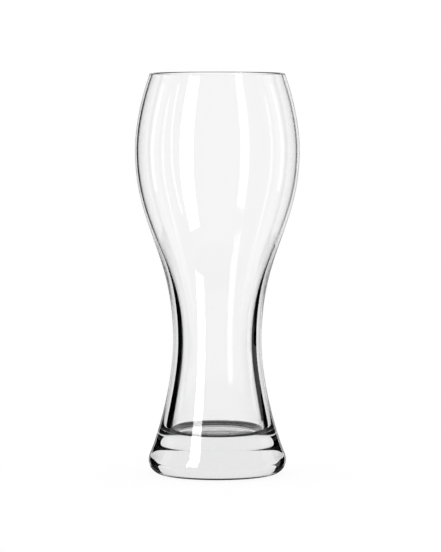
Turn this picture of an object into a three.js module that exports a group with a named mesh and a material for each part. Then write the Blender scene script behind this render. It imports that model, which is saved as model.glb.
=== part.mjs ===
// Tall beer glass: a blown bowl with an S-shaped wall, joined hot to a heavy solid base.
// Both solids are turned about the vertical axis, +Z, and the glass stands on the plane z = 0.

import * as THREE from 'three';

// Driving dimensions, in millimetres and degrees

// Mouth, with a fire-polished round lip
const glassHeight = 232;
const rimDiameter = 78.4;          // outside, where the rounding of the lip starts
const rimWall = 1.6;
const rimLean = 19.8;              // lean of the wall towards the axis

// Belly, the widest part of the bowl
const bellyDiameter = 95.4;
const bellyHeight = 187.2;
const bellyWall = 1.7;

// Waist, the narrow grip
const waistDiameter = 51.1;
const waistHeight = 77.3;
const waistWall = 5.6;

// Solid base, with a rounded heel and a flat-topped recess underneath
const baseDiameter = 80;           // widest, at the heel
const heelRadius = 8.2;
const flareLean = 22.7;            // lean of the side above the heel
const bearingRingWidth = 2;
const puntDepth = 5.5;             // of the recess
const puntCorner = 8;              // radius where the recess rounds down to the bearing ring
const joinHeight = 18.5;           // flat face where the bowl sits on the base

// Floor of the cavity
const floorThickness = 4.5;        // glass of the bowl under the cavity
const floorFillet = 3;
const footWall = 8.6;              // side wall at the floor's level
const footLean = 8.5;              // lean of the cavity's side above the floor

// Reach of each wall curve from its stations, which sets how full the curve is
const outerHeelReach = 16.7;
const outerWaistReachDown = 21.6;
const outerWaistReachUp = 52.3;
const outerBellyReachDown = 44.1;
const outerBellyReachUp = 15;
const outerRimReach = 13.3;
const innerFootReach = 16;
const innerWaistReachDown = 18;
const innerWaistReachUp = 43;
const innerBellyReachDown = 45;
const innerBellyReachUp = 14;
const innerRimReach = 13;

// Facets
const turnSegments = 60;
const flareSteps = 8;
const neckSteps = 15;
const shoulderSteps = 8;
const lipQuarterSteps = 3;
const filletSteps = 5;
const heelSteps = 6;
const heelShoulderSteps = 2;
const puntSteps = 6;
const samePlace = 1e-6;            // points closer than this are one point

const clearGlass = new THREE.MeshStandardMaterial({
  color: 0xf4f7f7,
  roughness: 0.02,
  metalness: 0,
  transparent: true,
  opacity: 0.35,
});

// A point of a half-section: distance from the axis, then height
const point = (radius, height) => new THREE.Vector2(radius, height);

// Unit direction that climbs while leaning towards the axis by the given degrees
function leaning(degrees) {
  const angle = THREE.MathUtils.degToRad(degrees);
  return point(-Math.sin(angle), Math.cos(angle));
}

const straightUp = point(0, 1);

// Smooth stretch of wall between two stations, leaving and arriving along their own directions
function wallCurve(start, startDirection, startReach, end, endDirection, endReach) {
  return new THREE.CubicBezierCurve(
    start,
    start.clone().addScaledVector(startDirection, startReach),
    end.clone().addScaledVector(endDirection, -endReach),
    end,
  );
}

// Round stretch of a half-section, from one angle to another in degrees
function arcPoints(centre, radius, fromDegrees, toDegrees, steps) {
  const points = [];
  for (let step = 0; step <= steps; step += 1) {
    const angle = THREE.MathUtils.degToRad(fromDegrees + ((toDegrees - fromDegrees) * step) / steps);
    points.push(point(centre.x + radius * Math.cos(angle), centre.y + radius * Math.sin(angle)));
  }
  return points;
}

// Parameter at which a climbing curve reaches a height
function parameterAtHeight(curve, height) {
  let low = 0;
  let high = 1;
  const halvings = 50;
  for (let halving = 0; halving < halvings; halving += 1) {
    const middle = (low + high) / 2;
    if (curve.getPoint(middle).y < height) {
      low = middle;
    } else {
      high = middle;
    }
  }
  return (low + high) / 2;
}

// Points on a curve between two parameters, both ends included
function curvePoints(curve, from, to, steps) {
  const points = [];
  for (let step = 0; step <= steps; step += 1) {
    points.push(curve.getPoint(from + ((to - from) * step) / steps));
  }
  return points;
}

// Half-section without the points where one stretch ends and the next starts at the same place
function withoutRepeats(points) {
  return points.filter((here, index) => index === 0 || here.distanceTo(points[index - 1]) > samePlace);
}

// Closed solid turned about +Z from a half-section that starts and ends on the axis
function turnedMesh(name, halfSection) {
  const geometry = new THREE.LatheGeometry(withoutRepeats(halfSection), turnSegments);
  geometry.rotateX(Math.PI / 2);
  const mesh = new THREE.Mesh(geometry, clearGlass);
  mesh.name = name;
  return mesh;
}

// Stations of the outer wall
const lipRadius = rimWall / 2;
const rimDirection = leaning(rimLean);
const rimAcross = point(rimDirection.y, -rimDirection.x);
const outerBelly = point(bellyDiameter / 2, bellyHeight);
const outerWaist = point(waistDiameter / 2, waistHeight);
const lipCentre = point(rimDiameter / 2 - lipRadius * rimAcross.x, glassHeight - lipRadius);
const outerRim = lipCentre.clone().addScaledVector(rimAcross, lipRadius);
const heelCentre = point(baseDiameter / 2 - heelRadius, heelRadius);
const heelArc = [
  ...arcPoints(heelCentre, heelRadius, -90, 0, heelSteps),
  ...arcPoints(heelCentre, heelRadius, 0, flareLean, heelShoulderSteps),
];
const heelTop = heelArc[heelArc.length - 1];

const outerFlare = wallCurve(
  heelTop, leaning(flareLean), outerHeelReach, outerWaist, straightUp, outerWaistReachDown,
);
const outerNeck = wallCurve(
  outerWaist, straightUp, outerWaistReachUp, outerBelly, straightUp, outerBellyReachDown,
);
const outerShoulder = wallCurve(
  outerBelly, straightUp, outerBellyReachUp, outerRim, rimDirection, outerRimReach,
);
const joinParameter = parameterAtHeight(outerFlare, joinHeight);
const joinEdge = point(outerFlare.getPoint(joinParameter).x, joinHeight);

// Stations of the inner wall, each one wall thickness inside the outer wall
const innerRim = lipCentre.clone().addScaledVector(rimAcross, -lipRadius);
const innerBelly = point(outerBelly.x - bellyWall, bellyHeight);
const innerWaist = point(outerWaist.x - waistWall, waistHeight);
const floorHeight = joinHeight + floorThickness;
const outerAtFloor = outerFlare.getPoint(parameterAtHeight(outerFlare, floorHeight));
const filletCentre = point(outerAtFloor.x - footWall - floorFillet, floorHeight + floorFillet);
const filletArc = arcPoints(filletCentre, floorFillet, footLean, -90, filletSteps);
const innerFoot = filletArc[0];

const innerShoulder = wallCurve(
  innerBelly, straightUp, innerBellyReachUp, innerRim, rimDirection, innerRimReach,
);
const innerNeck = wallCurve(
  innerWaist, straightUp, innerWaistReachUp, innerBelly, straightUp, innerBellyReachDown,
);
const innerFlare = wallCurve(
  innerFoot, leaning(footLean), innerFootReach, innerWaist, straightUp, innerWaistReachDown,
);

// Blown bowl: up the outside, over the lip, down the inside to the floor of the cavity
function makeBowl() {
  return turnedMesh('bowl', [
    point(0, joinHeight),
    joinEdge,
    ...curvePoints(outerFlare, joinParameter, 1, flareSteps).slice(1),
    ...curvePoints(outerNeck, 0, 1, neckSteps),
    ...curvePoints(outerShoulder, 0, 1, shoulderSteps),
    ...arcPoints(lipCentre, lipRadius, rimLean, 90, lipQuarterSteps),
    ...arcPoints(lipCentre, lipRadius, 90, rimLean + 180, lipQuarterSteps),
    ...curvePoints(innerShoulder, 1, 0, shoulderSteps),
    ...curvePoints(innerNeck, 1, 0, neckSteps),
    ...curvePoints(innerFlare, 1, 0, flareSteps),
    ...filletArc,
    point(0, floorHeight),
  ]);
}

// Recess under the base, from the axis out to the bearing ring
function puntPoints(edgeRadius) {
  const cornerBelow = puntCorner - puntDepth;
  const cornerReach = Math.sqrt(puntCorner * puntCorner - cornerBelow * cornerBelow);
  const cornerCentre = point(edgeRadius - cornerReach, -cornerBelow);
  const edgeAngle = THREE.MathUtils.radToDeg(Math.asin(cornerBelow / puntCorner));
  return [point(0, puntDepth), ...arcPoints(cornerCentre, puntCorner, 90, edgeAngle, puntSteps)];
}

// Solid base: the recess underneath, the bearing ring, the heel and the flared side up to the join
function makeBase() {
  return turnedMesh('base', [
    ...puntPoints(heelCentre.x - bearingRingWidth).slice(0, -1),
    point(heelCentre.x - bearingRingWidth, 0),
    ...heelArc,
    ...curvePoints(outerFlare, 0, joinParameter, flareSteps).slice(1, -1),
    joinEdge,
    point(0, joinHeight),
  ]);
}

const beerGlass = new THREE.Group();
beerGlass.add(makeBowl(), makeBase());

export default beerGlass;
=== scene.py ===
"""Clear beer glass with a heavy base, standing in a plain white studio."""
import math

import bmesh
import bpy
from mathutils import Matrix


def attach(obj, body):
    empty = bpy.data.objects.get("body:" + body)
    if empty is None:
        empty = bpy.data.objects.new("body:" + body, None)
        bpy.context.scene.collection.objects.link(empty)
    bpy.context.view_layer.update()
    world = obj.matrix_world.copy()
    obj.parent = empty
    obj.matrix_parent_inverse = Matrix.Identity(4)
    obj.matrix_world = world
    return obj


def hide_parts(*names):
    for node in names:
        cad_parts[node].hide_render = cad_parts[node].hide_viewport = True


# The photograph's frame, in pixels
IMAGE_WIDTH = 441
IMAGE_HEIGHT = 552
AXIS_COLUMN = 217.3                 # column of the glass's axis

# Camera, in metres and degrees
CAMERA_DISTANCE = 2.196
CAMERA_HEIGHT = 0.283
CAMERA_TILT = 4.38
SENSOR_WIDTH = 36.0                 # millimetres, along the image's long side
LENS = 248.4                        # millimetres

# Surface of the glass
CONTROL_TURNS = 48                  # columns of the control mesh round the axis
SMOOTHING_LEVELS = 2
SAME_PLACE = 1e-6                   # metres
PLACE_DIGITS = 7                    # decimals to which two CAD points in metres are compared
FLAT_SPAN = 0.0015                  # rings this close on the flat faces keep their edges crisp when smoothed

# Glass
GLASS_IOR = 1.52
GLASS_TINT = (0.5, 0.51, 0.505, 1)  # what is left of the light, so thick glass looks a little grey
GLASS_DENSITY = 5.0
WAVE_SCALE = 26.0                   # gentle waves that blowing leaves in the wall, per metre
WAVE_DETAIL = 0.0                   # no finer waves on these
WAVE_HEIGHT = 0.00001               # metres
WAVE_STRENGTH = 0.5
POLISH_SCALE = 45.0                 # patches where the fire polish is a little duller, per metre
POLISH_START = 0.5                  # value of the noise at which a patch starts
POLISH_FULL = 0.8                   # value at which it is dullest
POLISH_ROUGHNESS = 0.02             # in the dullest patches
LIGHT_BOUNCES = 32                  # light crosses and reflects inside the glass many times

# The studio tells light apart by how many surfaces of the glass it crossed and how often it reflected there.
# Each bound lies between two whole numbers.
CROSSED_ANY = 0.5
CROSSED_WHOLE_GLASS = 3.5           # light through one wall, the lip or the base crosses fewer surfaces
REFLECTED_ANY = 0.5
REFLECTED_AGAIN = 1.5               # light that reflected twice or more is spent
SPENT_LEVEL = 0.02

# Floor, in metres
FLOOR_RADIUS = 4.0
FLOOR_STEPS = 96
FLOOR_DROP = 0.0002                 # keeps the floor clear of the bearing ring
SHADOW_REACH = 0.13                 # the shadow ends at this distance from the axis
SHADOW_SHARE = 0.1                  # part of the floor's white that a shadow takes away
PAINTED_SHADOW_LEVEL = 0.06                  # painted shadow: dark patch under the glass, which only the glass shows
SHADE_RADIUS = 0.048                # of the patch seen through a wall or the base
SHADE_EDGE = 0.004
FAR_SHADE_RADIUS = 0.078            # of the patch seen through the whole glass
FAR_SHADE_EDGE = 0.02

# White of the studio
WHITE_LEVEL = 1.0                   # what lights the floor, and what the camera sees behind the glass
STRAIGHT_LEVEL = 1.05               # all round, for light that passes straight through the glass
ROOM_LEVEL = 0.5                    # above and below the tent, for light that reflected in the glass

# Tall round tent of pale cloth, in metres, which only the glass shows.
# A panel on it is (azimuth, half width, low, high, soft edge, level), painted over the ones before it, with
# angles in degrees. The azimuth is 0 straight behind the glass and grows to the right, and low and high are
# elevations seen from the middle of the foot.
TENT_RADIUS = 0.25
TENT_LOW = -1.2
TENT_HIGH = 1.5
TENT_STEPS = 360
TENT_LEVEL = 0.62
TENT_PANELS = {
    "front": (180, 83, -90, 90, 4, 0.4),
    "back": (0, 43, -90, 90, 1, 1.05),
    "left_strip": (-84.5, 2.2, 22, 51, 0.7, 1.9),
    "right_strip": (84.5, 2.2, 22, 51, 0.7, 1.9),
    "ceiling": (0, 40, 53, 90, 3, 0.02),
    "table": (180, 190, -90, -22, 1.5, 0.0),
}
# More panels for reflections on the outside of the glass
OUTSIDE_PANELS = {
    "dark_room": (180, 83, -90, 90, 4, 0.03),
    "left_edge": (-26, 3.5, -90, 90, 0.7, 0.35),
    "right_edge": (24, 4.5, -90, 90, 0.7, 0.6),
    "softbox": (-140.5, 9, -6, 58, 0.8, 15.0),
}
# More panels for reflections on the far side of the glass
FAR_SIDE_PANELS = {
    "softbox": (-135, 7.3, -25, 50.6, 1, 3.0),
}
# Panels that draw the lip, in the white for light straight through one wall
LIP_PANELS = {
    "dark_above": (0, 180, 44.5, 90, 1, 0.0),
    "grey_behind": (0, 42, 22, 36, 4, 0.7),
}

# Black flags beside the glass, which draw its dark edges.
# A flag is (azimuth from, azimuth to, low, high), in degrees and metres.
FLAG_RADIUS = 0.185
FLAG_STEP = 1.0                     # degrees
FLAGS = {
    "left_flag": (-80, -38, -0.06, 0.068),
    "right_flag": (38.5, 60, -0.06, 0.075),
    "right_wing": (59, 76, 0.012, 0.062),
}
# Taller posts on the flags, which only light that reflected shows
POSTS = {
    "left_post": (-48, -38, 0.068, 0.33),
    "right_post": (42.5, 49.5, 0.075, 0.33),
}

# Narrow light close to the left of the glass, in metres, which only reflections on the outside show
STRIP_ENDS = ((-0.111, -0.087, 0.088), (-0.116, -0.069, 0.28))
STRIP_WIDTH = 0.008
STRIP_LEVEL = 2.2

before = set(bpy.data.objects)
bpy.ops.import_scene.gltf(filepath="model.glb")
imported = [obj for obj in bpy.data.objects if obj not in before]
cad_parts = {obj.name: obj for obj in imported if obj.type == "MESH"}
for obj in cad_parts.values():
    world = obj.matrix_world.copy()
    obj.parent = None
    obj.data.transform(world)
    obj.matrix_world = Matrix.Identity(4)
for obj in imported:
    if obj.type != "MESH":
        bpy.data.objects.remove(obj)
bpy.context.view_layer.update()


def half_section(node):
    """Outline of a turned CAD node from one axis point to the other, as points (radius, height).

    It is read from the edges that lie in the half-plane y = 0, x >= 0.
    """
    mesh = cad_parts[node].data
    neighbours = {}
    for edge in mesh.edges:
        ends = [mesh.vertices[index].co for index in edge.vertices]
        if any(abs(end.y) > SAME_PLACE or end.x < -SAME_PLACE for end in ends):
            continue
        first, second = [(round(end.x, PLACE_DIGITS), round(end.z, PLACE_DIGITS)) for end in ends]
        if first != second:
            neighbours.setdefault(first, set()).add(second)
            neighbours.setdefault(second, set()).add(first)
    here = min((spot for spot in neighbours if spot[0] < SAME_PLACE), key=lambda spot: spot[1])
    outline = [here]
    while True:
        onward = [spot for spot in neighbours[here] if spot not in outline]
        if not onward:
            return outline
        here = onward[0]
        outline.append(here)


def whole_outline():
    """Outline of the glass as one body: the base up to the join, then the bowl above it."""
    base = half_section("base")
    bowl = half_section("bowl")
    # The join's own face, from the axis to its edge, is inside the glass and left out
    return base[:-1] + bowl[2:]


def with_flat_rings(outline):
    """Outline with its flat faces divided into short spans."""
    divided = [outline[0]]
    for (radius, height), (next_radius, next_height) in zip(outline[:-1], outline[1:]):
        is_flat = abs(next_height - height) < SAME_PLACE
        spans = math.ceil(abs(next_radius - radius) / FLAT_SPAN) if is_flat else 1
        for span in range(1, spans):
            divided.append((radius + (next_radius - radius) * span / spans, height))
        divided.append((next_radius, next_height))
    return divided


def turned_mesh(name, outline):
    """Control mesh of a body of revolution whose smoothed surface keeps the outline's radii."""
    # Smoothing draws a ring of even points in to (2 + cos) / 3 of its radius
    swell = 3 / (2 + math.cos(math.tau / CONTROL_TURNS))
    shape = bmesh.new()
    rings = []
    for radius, height in with_flat_rings(outline):
        if radius < SAME_PLACE:
            rings.append([shape.verts.new((0, 0, height))] * CONTROL_TURNS)
            continue
        ring = []
        for turn in range(CONTROL_TURNS):
            angle = math.tau * turn / CONTROL_TURNS
            ring.append(shape.verts.new((
                radius * swell * math.cos(angle),
                radius * swell * math.sin(angle),
                height,
            )))
        rings.append(ring)
    for lower, upper in zip(rings[:-1], rings[1:]):
        for turn in range(CONTROL_TURNS):
            after = (turn + 1) % CONTROL_TURNS
            corners = [lower[turn], lower[after], upper[after], upper[turn]]
            shape.faces.new(list(dict.fromkeys(corners)))
    mesh = bpy.data.meshes.new(name)
    shape.to_mesh(mesh)
    shape.free()
    mesh.polygons.foreach_set("use_smooth", [True] * len(mesh.polygons))
    return mesh


class Wiring:
    """Short calls for making and joining the nodes of one node tree."""

    def __init__(self, tree):
        self.tree = tree
        tree.nodes.clear()

    def node(self, kind, **settings):
        """New node with some of its settings."""
        made = self.tree.nodes.new(kind)
        for key, value in settings.items():
            setattr(made, key, value)
        return made

    def feed(self, socket, value):
        """Give a socket another node's output or a plain value."""
        if isinstance(value, bpy.types.NodeSocket):
            self.tree.links.new(value, socket)
        else:
            socket.default_value = value

    def math(self, operation, *values):
        """Result of one arithmetic step."""
        made = self.node("ShaderNodeMath", operation=operation)
        for socket, value in zip(made.inputs, values):
            self.feed(socket, value)
        return made.outputs[0]

    def mix(self, share, first, second):
        """Number that goes from the first to the second as the share goes from 0 to 1."""
        made = self.node("ShaderNodeMix", data_type="FLOAT")
        self.feed(made.inputs["Factor"], share)
        self.feed(made.inputs["A"], first)
        self.feed(made.inputs["B"], second)
        return made.outputs["Result"]

    def ramp(self, value, start, end):
        """0 before start and 1 after end, with a smooth step between; start may be the larger."""
        made = self.node("ShaderNodeMapRange", interpolation_type="SMOOTHSTEP")
        low, high = min(start, end), max(start, end)
        self.feed(made.inputs["Value"], value)
        self.feed(made.inputs["From Min"], low)
        self.feed(made.inputs["From Max"], high)
        rising = made.outputs["Result"]
        return rising if start < end else self.math("SUBTRACT", 1.0, rising)

    def plain_grey(self, kind, level):
        """Shader of one grey, from black at 0 to white at 1."""
        made = self.node(kind)
        self.feed(made.inputs["Color"], (level, level, level, 1))
        return made.outputs[0]

    def blend(self, share, first, second):
        """Shader that goes from the first to the second as the share goes from 0 to 1."""
        made = self.node("ShaderNodeMixShader")
        self.feed(made.inputs["Fac"], share)
        self.feed(made.inputs[1], first)
        self.feed(made.inputs[2], second)
        return made.outputs[0]

    def show(self, surface):
        """Give the material its surface, and return the output node."""
        output = self.node("ShaderNodeOutputMaterial")
        self.feed(output.inputs["Surface"], surface)
        return output


def new_material(name):
    """New material with an empty node tree, and the wiring of that tree."""
    material = bpy.data.materials.new(name)
    material.use_nodes = True
    return material, Wiring(material.node_tree)


def has_crossed(wiring, path, bound):
    """1 for light that crossed more surfaces of the glass than the bound, otherwise 0."""
    return wiring.math("GREATER_THAN", path.outputs["Transmission Depth"], bound)


def has_reflected(wiring, path, bound):
    """1 for light that reflected on or in the glass more often than the bound, otherwise 0."""
    return wiring.math("GREATER_THAN", path.outputs["Glossy Depth"], bound)


def uneven_polish(wiring, place):
    """Roughness of the glass: mirror-smooth, with a few patches that are a little duller."""
    patches = wiring.node("ShaderNodeTexNoise")
    wiring.feed(patches.inputs["Vector"], place)
    wiring.feed(patches.inputs["Scale"], POLISH_SCALE)
    dull = wiring.ramp(patches.outputs["Fac"], POLISH_START, POLISH_FULL)
    return wiring.math("MULTIPLY", dull, POLISH_ROUGHNESS)


def gentle_waves(wiring, place):
    """Surface direction of the glass, with the waves of a blown wall."""
    waves = wiring.node("ShaderNodeTexNoise")
    wiring.feed(waves.inputs["Vector"], place)
    wiring.feed(waves.inputs["Scale"], WAVE_SCALE)
    wiring.feed(waves.inputs["Detail"], WAVE_DETAIL)
    bump = wiring.node("ShaderNodeBump")
    wiring.feed(bump.inputs["Height"], waves.outputs["Fac"])
    wiring.feed(bump.inputs["Distance"], WAVE_HEIGHT)
    wiring.feed(bump.inputs["Strength"], WAVE_STRENGTH)
    return bump.outputs["Normal"]


def clear_glass():
    """Clear soda-lime glass."""
    material, wiring = new_material("clear_glass")
    place = wiring.node("ShaderNodeTexCoord").outputs["Object"]
    shader = wiring.node("ShaderNodeBsdfPrincipled")
    shader.inputs["Base Color"].default_value = (1, 1, 1, 1)
    shader.inputs["IOR"].default_value = GLASS_IOR
    shader.inputs["Transmission Weight"].default_value = 1.0
    wiring.feed(shader.inputs["Roughness"], uneven_polish(wiring, place))
    wiring.feed(shader.inputs["Normal"], gentle_waves(wiring, place))
    volume = wiring.node("ShaderNodeVolumeAbsorption")
    volume.inputs["Color"].default_value = GLASS_TINT
    volume.inputs["Density"].default_value = GLASS_DENSITY
    output = wiring.show(shader.outputs[0])
    wiring.feed(output.inputs["Volume"], volume.outputs[0])
    return material


def add_glass():
    """The glass itself, one unbroken surface that stands for the bowl and the base."""
    glass = bpy.data.objects.new("glass_body", turned_mesh("glass_body", whole_outline()))
    bpy.context.scene.collection.objects.link(glass)
    smooth = glass.modifiers.new("smooth", "SUBSURF")
    smooth.levels = SMOOTHING_LEVELS
    smooth.render_levels = SMOOTHING_LEVELS
    glass.data.materials.append(clear_glass())
    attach(glass, "root")
    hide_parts("bowl", "base")


def add_world():
    """White all round, and a plain room to the light that reflected in the glass."""
    world = bpy.data.worlds.new("studio")
    world.use_nodes = True
    bpy.context.scene.world = world
    wiring = Wiring(world.node_tree)
    path = wiring.node("ShaderNodeLightPath")
    reflected = has_reflected(wiring, path, REFLECTED_ANY)
    background = wiring.node("ShaderNodeBackground")
    wiring.feed(background.inputs["Color"], (1, 1, 1, 1))
    wiring.feed(background.inputs["Strength"], wiring.mix(reflected, WHITE_LEVEL, ROOM_LEVEL))
    output = wiring.node("ShaderNodeOutputWorld")
    wiring.feed(output.inputs["Surface"], background.outputs[0])


def studio_angles(wiring):
    """Azimuth and elevation of a place on the tent, in radians."""
    direction = wiring.node("ShaderNodeVectorMath", operation="NORMALIZE")
    wiring.feed(direction.inputs[0], wiring.node("ShaderNodeTexCoord").outputs["Object"])
    parts = wiring.node("ShaderNodeSeparateXYZ")
    wiring.feed(parts.inputs[0], direction.outputs["Vector"])
    azimuth = wiring.math("ARCTAN2", parts.outputs["X"], parts.outputs["Y"])
    elevation = wiring.math("ARCSINE", parts.outputs["Z"])
    return azimuth, elevation


def paint_panels(wiring, angles, panels, level):
    """Brightness of the tent, with panels painted over the level that is there already."""
    azimuth, elevation = angles
    for centre, half_width, low, high, edge, panel_level in panels.values():
        offset = wiring.math("SUBTRACT", azimuth, math.radians(centre))
        wrapped = wiring.math("WRAP", offset, math.pi, -math.pi)
        aside = wiring.math("ABSOLUTE", wrapped)
        across = wiring.ramp(aside, math.radians(half_width + edge), math.radians(half_width - edge))
        above = wiring.ramp(elevation, math.radians(low - edge), math.radians(low + edge))
        below = wiring.ramp(elevation, math.radians(high + edge), math.radians(high - edge))
        within = wiring.math("MULTIPLY", across, wiring.math("MULTIPLY", above, below))
        level = wiring.mix(within, level, panel_level)
    return level


def tent_material():
    """Lit cloth: white to light straight through the glass, with panels to light that reflected there."""
    material, wiring = new_material("tent")
    path = wiring.node("ShaderNodeLightPath")
    angles = studio_angles(wiring)
    cloth = paint_panels(wiring, angles, TENT_PANELS, TENT_LEVEL)
    by_outside = paint_panels(wiring, angles, OUTSIDE_PANELS, cloth)
    by_far_side = paint_panels(wiring, angles, FAR_SIDE_PANELS, cloth)
    by_lip = paint_panels(wiring, angles, LIP_PANELS, STRAIGHT_LEVEL)
    entered = has_crossed(wiring, path, CROSSED_ANY)
    beyond = has_crossed(wiring, path, CROSSED_WHOLE_GLASS)
    straight = wiring.mix(beyond, by_lip, STRAIGHT_LEVEL)
    inside = wiring.mix(beyond, cloth, by_far_side)
    reflected = wiring.mix(entered, by_outside, inside)
    kept = wiring.mix(has_reflected(wiring, path, REFLECTED_AGAIN), reflected, SPENT_LEVEL)
    light = wiring.node("ShaderNodeEmission")
    level = wiring.mix(has_reflected(wiring, path, REFLECTED_ANY), straight, kept)
    wiring.feed(light.inputs["Strength"], level)
    wiring.show(light.outputs[0])
    return material


def flag_material(name, bound):
    """Black cloth, clear to light that went straight through more surfaces of the glass than the bound."""
    material, wiring = new_material(name)
    path = wiring.node("ShaderNodeLightPath")
    few_crossed = wiring.math("LESS_THAN", path.outputs["Transmission Depth"], bound)
    seen = wiring.math("MAXIMUM", has_reflected(wiring, path, REFLECTED_ANY), few_crossed)
    clear = wiring.node("ShaderNodeBsdfTransparent").outputs[0]
    wiring.show(wiring.blend(seen, clear, wiring.plain_grey("ShaderNodeBsdfDiffuse", 0)))
    return material


def strip_material():
    """Light that only reflections on the outside of the glass show."""
    material, wiring = new_material("strip")
    path = wiring.node("ShaderNodeLightPath")
    light = wiring.node("ShaderNodeEmission")
    wiring.feed(light.inputs["Strength"], STRIP_LEVEL)
    clear = wiring.node("ShaderNodeBsdfTransparent").outputs[0]
    wiring.show(wiring.blend(has_crossed(wiring, path, CROSSED_ANY), light.outputs[0], clear))
    return material


def add_stage_mesh(name, corners, faces, material):
    """Part of the studio that only the glass shows."""
    mesh = bpy.data.meshes.new(name)
    mesh.from_pydata(corners, [], faces)
    mesh.materials.append(material)
    stage = bpy.data.objects.new(name, mesh)
    bpy.context.scene.collection.objects.link(stage)
    stage.visible_camera = False
    stage.visible_diffuse = False
    stage.visible_shadow = False


def upright(radius, degrees, height):
    """Place on an upright cylinder round the glass."""
    azimuth = math.radians(degrees)
    return (radius * math.sin(azimuth), radius * math.cos(azimuth), height)


def add_tent():
    """Round tent of pale cloth."""
    corners = []
    for height in (TENT_LOW, TENT_HIGH):
        for step in range(TENT_STEPS):
            corners.append(upright(TENT_RADIUS, 360 * step / TENT_STEPS, height))
    faces = []
    for step in range(TENT_STEPS):
        after = (step + 1) % TENT_STEPS
        faces.append((step, after, after + TENT_STEPS, step + TENT_STEPS))
    add_stage_mesh("tent", corners, faces, tent_material())


def add_flags(flags, material):
    """Black flags, each a piece of an upright cylinder round the glass."""
    for name, (start, end, low, high) in flags.items():
        steps = math.ceil((end - start) / FLAG_STEP)
        corners = []
        for step in range(steps + 1):
            degrees = start + (end - start) * step / steps
            corners.append(upright(FLAG_RADIUS, degrees, low))
            corners.append(upright(FLAG_RADIUS, degrees, high))
        faces = [(2 * step, 2 * step + 1, 2 * step + 3, 2 * step + 2) for step in range(steps)]
        add_stage_mesh(name, corners, faces, material)


def add_strip():
    """Narrow light close to the left of the glass, facing its axis."""
    corners = []
    for x, y, z in STRIP_ENDS:
        across = STRIP_WIDTH / 2 / math.hypot(x, y)
        corners.append((x - y * across, y + x * across, z))
        corners.append((x + y * across, y - x * across, z))
    add_stage_mesh("strip", corners, [(0, 1, 3, 2)], strip_material())


def floor_seen_by_camera(wiring, distance):
    """White floor that keeps the glass's shadow near it."""
    white = wiring.plain_grey("ShaderNodeEmission", 1)
    lit = wiring.plain_grey("ShaderNodeBsdfDiffuse", 1)
    near = wiring.ramp(distance, SHADOW_REACH, 0)
    return wiring.blend(wiring.math("MULTIPLY", near, SHADOW_SHARE), white, lit)


def floor_seen_by_glass(wiring, path, distance):
    """Painted shadow: a dark patch under the glass, which only the glass shows. Beyond it the glass sees the
    studio through the floor.
    """
    near_painted_shadow = wiring.ramp(distance, SHADE_RADIUS + SHADE_EDGE, SHADE_RADIUS - SHADE_EDGE)
    far_painted_shadow = wiring.ramp(distance, FAR_SHADE_RADIUS + FAR_SHADE_EDGE, FAR_SHADE_RADIUS - FAR_SHADE_EDGE)
    # Painted shadow: the dark patch reaches further for light that went through the whole glass
    under = wiring.mix(has_crossed(wiring, path, CROSSED_WHOLE_GLASS), near_painted_shadow, far_painted_shadow)
    clear = wiring.node("ShaderNodeBsdfTransparent").outputs[0]
    return wiring.blend(under, clear, wiring.plain_grey("ShaderNodeEmission", PAINTED_SHADOW_LEVEL))


def floor_material():
    """White floor to the camera, and mostly clear to the glass, with a painted shadow under the glass that
    only the glass shows.
    """
    material, wiring = new_material("white_floor")
    path = wiring.node("ShaderNodeLightPath")
    reach = wiring.node("ShaderNodeVectorMath", operation="LENGTH")
    wiring.feed(reach.inputs[0], wiring.node("ShaderNodeTexCoord").outputs["Object"])
    distance = reach.outputs["Value"]
    by_glass = floor_seen_by_glass(wiring, path, distance)
    by_camera = floor_seen_by_camera(wiring, distance)
    wiring.show(wiring.blend(path.outputs["Is Camera Ray"], by_glass, by_camera))
    return material


def add_floor():
    """Round floor, just under the glass."""
    shape = bmesh.new()
    bmesh.ops.create_circle(shape, cap_ends=True, segments=FLOOR_STEPS, radius=FLOOR_RADIUS)
    bmesh.ops.translate(shape, verts=shape.verts, vec=(0, 0, -FLOOR_DROP))
    mesh = bpy.data.meshes.new("floor")
    shape.to_mesh(mesh)
    shape.free()
    floor = bpy.data.objects.new("floor", mesh)
    bpy.context.scene.collection.objects.link(floor)
    floor.data.materials.append(floor_material())


def add_camera():
    """Camera at the photograph's viewing angle, moved aside so that the axis falls on its column."""
    data = bpy.data.cameras.new("camera")
    data.sensor_fit = "AUTO"
    data.sensor_width = SENSOR_WIDTH
    data.lens = LENS
    camera = bpy.data.objects.new("camera", data)
    bpy.context.scene.collection.objects.link(camera)
    pixels_per_metre = LENS / SENSOR_WIDTH * IMAGE_HEIGHT / CAMERA_DISTANCE
    sideways = (IMAGE_WIDTH / 2 - AXIS_COLUMN) / pixels_per_metre
    camera.location = (sideways, -CAMERA_DISTANCE, CAMERA_HEIGHT)
    camera.rotation_euler = (math.radians(90 - CAMERA_TILT), 0, 0)
    bpy.context.scene.camera = camera


add_camera()
add_glass()
add_floor()
add_tent()
add_flags(FLAGS, flag_material("black_flag", CROSSED_WHOLE_GLASS))
add_flags(POSTS, flag_material("black_post", CROSSED_ANY))
add_strip()
add_world()
bpy.context.scene.view_settings.view_transform = "Standard"
bpy.context.scene.cycles.max_bounces = LIGHT_BOUNCES
bpy.context.scene.cycles.glossy_bounces = LIGHT_BOUNCES
bpy.context.scene.cycles.transmission_bounces = LIGHT_BOUNCES
